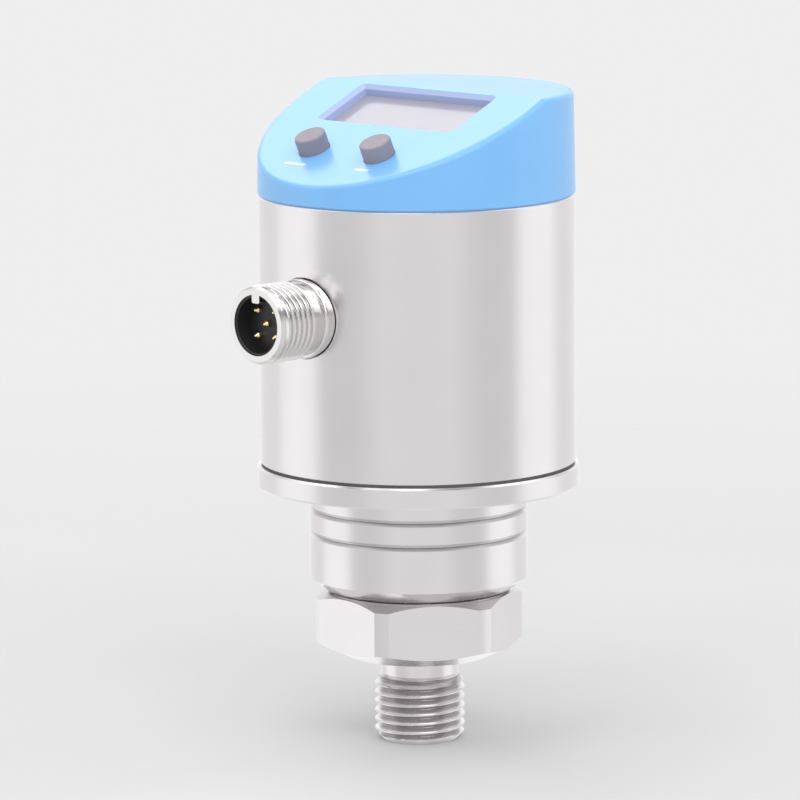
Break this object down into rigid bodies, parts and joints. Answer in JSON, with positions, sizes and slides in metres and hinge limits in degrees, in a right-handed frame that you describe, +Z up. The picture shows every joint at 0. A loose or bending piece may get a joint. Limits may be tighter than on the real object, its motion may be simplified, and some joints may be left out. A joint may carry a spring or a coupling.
{
  "type": "digital pressure switch",
  "caption": "Digital pressure switch: steel housing with threaded pressure port, hexagon, side connector, and a blue cap with a slanted display and push buttons.",
  "frame": {"origin": "centre of the sealing face under the hexagon, on the housing axis", "axes": "+Z up the housing axis to the cap; -Y the front, where the electrical connector and the low edge of the slanted face point"},
  "size_m": [0.05, 0.0595, 0.1014],
  "materials": {
    "port_steel": "turned stainless steel",
    "base_steel": "turned stainless steel, fine satin",
    "tube_steel": "fine turned stainless steel tube",
    "nickel": "bright nickel plate",
    "contact_gold": "gold flashed contacts",
    "insert_black": "black contact carrier",
    "cap_blue": "satin moulded plastic",
    "button_grey": "fine matt grey",
    "window_clear": "clear polished pane",
    "display_grey": "pale grey display glass",
    "seal_black": "black elastomer",
    "ceramic_white": "white ceramic",
    "ring_steel": "turned steel",
    "carrier_grey": "moulded plastic",
    "screw_steel": "zinc plated",
    "board_green": "solder mask",
    "chip_black": "black epoxy",
    "socket_white": "natural nylon",
    "ribbon_amber": "polyimide film"
  },
  "bodies": {
    "housing": {"pressure_port": "port_steel", "base_flange": "base_steel", "housing_tube": "tube_steel", "connector_shell": "nickel", "contact_pin_1": "contact_gold", "contact_pin_2": "contact_gold", "contact_pin_3": "contact_gold", "contact_pin_4": "contact_gold", "contact_pin_5": "contact_gold", "connector_insert": "insert_black", "cap": "cap_blue", "display_window": "window_clear", "display_module": "display_grey", "base_gasket": "seal_black", "sensor_seal": "seal_black", "base_seal": "seal_black", "connector_seal": "seal_black", "cap_seal": "seal_black", "sensor_cell": "ceramic_white", "sensor_clamp_ring": "ring_steel", "board_carrier": "carrier_grey", "carrier_screws": "screw_steel", "display_board_screws": "screw_steel", "main_board": "board_green", "display_board": "board_green", "processor": "chip_black", "output_transistors": "chip_black", "mode_switch_body": "chip_black", "set_switch_body": "chip_black", "sensor_socket": "socket_white", "link_socket": "socket_white", "display_socket": "socket_white", "sensor_ribbon": "ribbon_amber", "display_ribbon": "ribbon_amber"},
    "mode_button": {"mode_button": "button_grey", "mode_button_seal": "seal_black", "mode_switch_plunger": "socket_white"},
    "set_button": {"set_button": "button_grey", "set_button_seal": "seal_black", "set_switch_plunger": "socket_white"}
  },
  "joints": [
    {"name": "mode_button_press", "type": "slide", "parent": "housing", "child": "mode_button", "axis": [0, 0.4099, -0.9121], "range_m": [0, 0.0005], "stiffness_N_per_m": 1600, "springref_m": -0.0005},
    {"name": "set_button_press", "type": "slide", "parent": "housing", "child": "set_button", "axis": [0, 0.4099, -0.9121], "range_m": [0, 0.0005], "stiffness_N_per_m": 1600, "springref_m": -0.0005}
  ]
}
